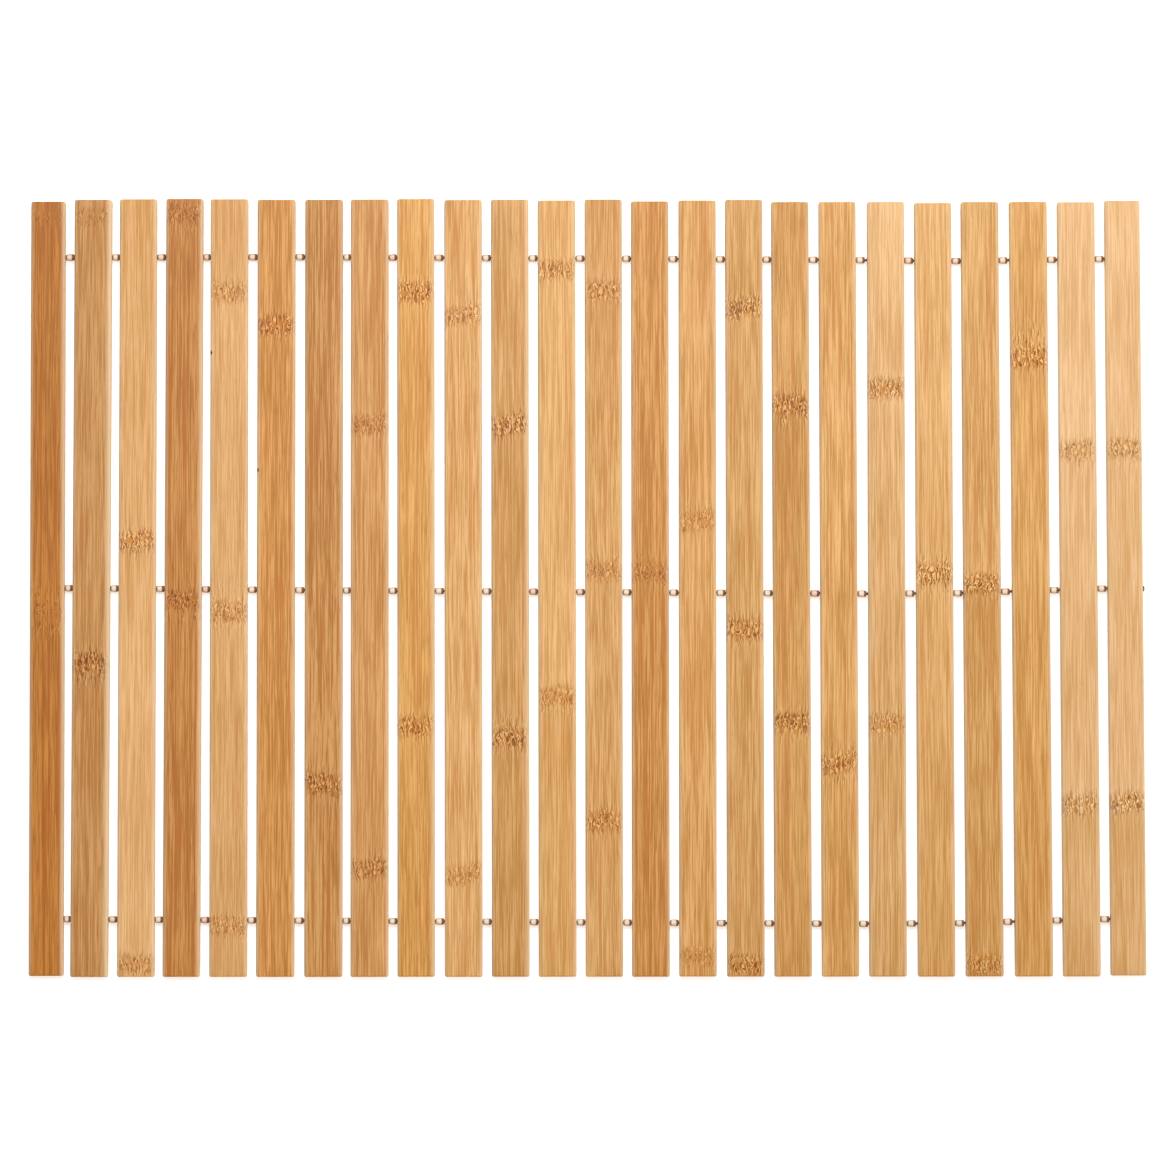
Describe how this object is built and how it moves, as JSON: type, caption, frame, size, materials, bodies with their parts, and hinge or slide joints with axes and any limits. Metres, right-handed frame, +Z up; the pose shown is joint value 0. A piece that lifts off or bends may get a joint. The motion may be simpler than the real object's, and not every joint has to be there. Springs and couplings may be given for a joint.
{
  "type": "slatted bamboo mat",
  "caption": "Flat slatted mat: parallel bamboo slats strung side by side on cross cords, with small barrel beads holding narrow even gaps between them.",
  "frame": {"origin": "under the middle of the mat, on the surface that it lies on", "axes": "+X along the mat, across the slats, to the right of the picture; +Y along the slats, to the top of the picture; +Z up"},
  "size_m": [0.719, 0.5022, 0.008],
  "materials": {
    "bamboo_amber": "planed bamboo with fine lengthwise grain under a thin satin lacquer",
    "bamboo_toast": "planed bamboo with fine lengthwise grain under a thin satin lacquer",
    "bamboo_honey": "planed bamboo with fine lengthwise grain under a thin satin lacquer",
    "bamboo_golden": "planed bamboo with fine lengthwise grain under a thin satin lacquer",
    "bamboo_pale": "planed bamboo with fine lengthwise grain under a thin satin lacquer",
    "cord": "twisted dark brown cord, matt",
    "bead": "small turned pale wooden bead, smooth"
  },
  "bodies": {
    "root": {"slat_01": "bamboo_amber", "slat_02": "bamboo_toast", "slat_03": "bamboo_honey", "slat_04": "bamboo_amber", "slat_05": "bamboo_honey", "slat_06": "bamboo_toast", "slat_07": "bamboo_toast", "slat_08": "bamboo_toast", "slat_09": "bamboo_golden", "slat_10": "bamboo_honey", "slat_11": "bamboo_honey", "slat_12": "bamboo_golden", "slat_13": "bamboo_honey", "slat_14": "bamboo_toast", "slat_15": "bamboo_honey", "slat_16": "bamboo_golden", "slat_17": "bamboo_honey", "slat_18": "bamboo_golden", "slat_19": "bamboo_pale", "slat_20": "bamboo_golden", "slat_21": "bamboo_golden", "slat_22": "bamboo_golden", "slat_23": "bamboo_pale", "slat_24": "bamboo_pale", "cord_upper": "cord", "cord_middle": "cord", "cord_lower": "cord"}
  },
  "joints": []
}
